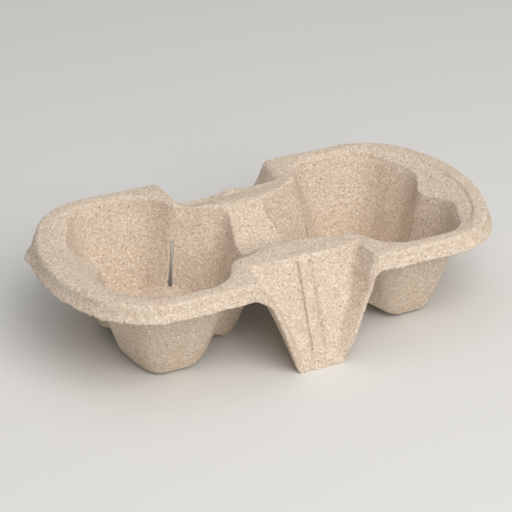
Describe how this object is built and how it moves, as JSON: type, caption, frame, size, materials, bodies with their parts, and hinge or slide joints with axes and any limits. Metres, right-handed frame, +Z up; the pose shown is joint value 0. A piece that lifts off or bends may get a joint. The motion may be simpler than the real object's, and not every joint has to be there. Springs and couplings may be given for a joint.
{
  "type": "cup carrier",
  "caption": "Moulded paper-pulp carrier tray for takeaway cups, with petal-sided pockets, a turned-down flange, a dipping saddle and a splayed leg at the middle of each long side.",
  "frame": {"origin": "on the table, under the middle of the tray's bounding box", "axes": "+X along the tray from pocket to pocket, +Y across it from leg to leg, +Z up"},
  "size_m": [0.2104, 0.1148, 0.048],
  "materials": {
    "pulp": "matte"
  },
  "bodies": {
    "root": {"carrier_tray": "pulp"}
  },
  "joints": []
}
